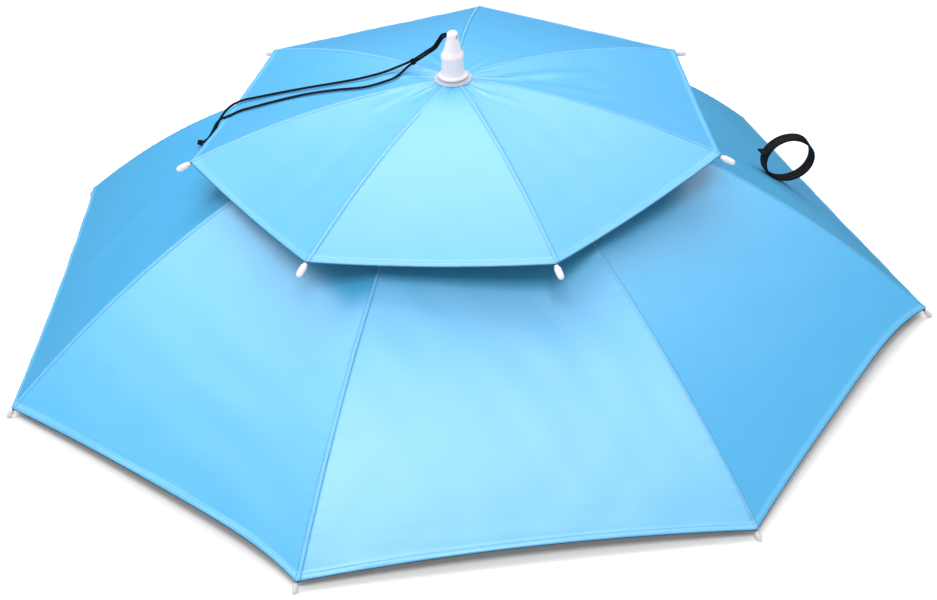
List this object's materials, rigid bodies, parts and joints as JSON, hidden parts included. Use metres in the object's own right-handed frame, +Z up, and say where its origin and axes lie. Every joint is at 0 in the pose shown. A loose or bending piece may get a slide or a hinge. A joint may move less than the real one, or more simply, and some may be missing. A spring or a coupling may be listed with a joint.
{
  "type": "umbrella hat",
  "caption": "Two-tier umbrella hat: a wide panelled canopy under a smaller vented one, on steel ribs, with a head band, a top spike, a hanging cord and a closure strap.",
  "frame": {"origin": "on the hat's axis, in the plane that the tips of the lower ribs stand on", "axes": "+Z up the hat's axis to the spike; the picture looks along +Y, with +X to its right"},
  "size_m": [0.9084, 0.9114, 0.3119],
  "materials": {
    "canopy_cloth": "sky blue coated polyester",
    "rib_steel": "plated spring wire",
    "grey_tip": "moulded, light grey",
    "white_tip": "moulded, white",
    "hub_plastic": "moulded, white",
    "clear_washer": "translucent",
    "ferrule_plastic": "moulded, milky white",
    "band_elastic": "ribbed elastic",
    "strap_webbing": "woven webbing",
    "cord_braid": "braided"
  },
  "bodies": {
    "root": {"lower_canopy": "canopy_cloth", "upper_canopy": "canopy_cloth", "lower_rib_1": "rib_steel", "lower_rib_2": "rib_steel", "lower_rib_3": "rib_steel", "lower_rib_4": "rib_steel", "lower_rib_5": "rib_steel", "lower_rib_6": "rib_steel", "lower_rib_7": "rib_steel", "lower_tip_1": "grey_tip", "lower_tip_2": "grey_tip", "lower_tip_3": "grey_tip", "lower_tip_4": "grey_tip", "lower_tip_5": "grey_tip", "lower_tip_6": "grey_tip", "lower_tip_7": "grey_tip", "upper_rib_1": "rib_steel", "upper_rib_2": "rib_steel", "upper_rib_3": "rib_steel", "upper_rib_4": "rib_steel", "upper_rib_5": "rib_steel", "upper_rib_6": "rib_steel", "upper_rib_7": "rib_steel", "upper_tip_1": "white_tip", "upper_tip_2": "white_tip", "upper_tip_3": "white_tip", "upper_tip_4": "white_tip", "upper_tip_5": "white_tip", "upper_tip_6": "white_tip", "upper_tip_7": "white_tip", "hub": "hub_plastic", "ferrule_washer": "clear_washer", "ferrule": "ferrule_plastic", "head_band": "band_elastic", "stay_1": "rib_steel", "stay_2": "rib_steel", "stay_3": "rib_steel", "stay_4": "rib_steel", "stay_5": "rib_steel", "stay_6": "rib_steel", "stay_7": "rib_steel", "closure_strap": "strap_webbing", "hang_cord_upper": "cord_braid", "hang_cord_lower": "cord_braid", "cord_slider": "cord_braid", "cord_end_knot": "cord_braid", "cord_eye_knot": "cord_braid"}
  },
  "joints": []
}
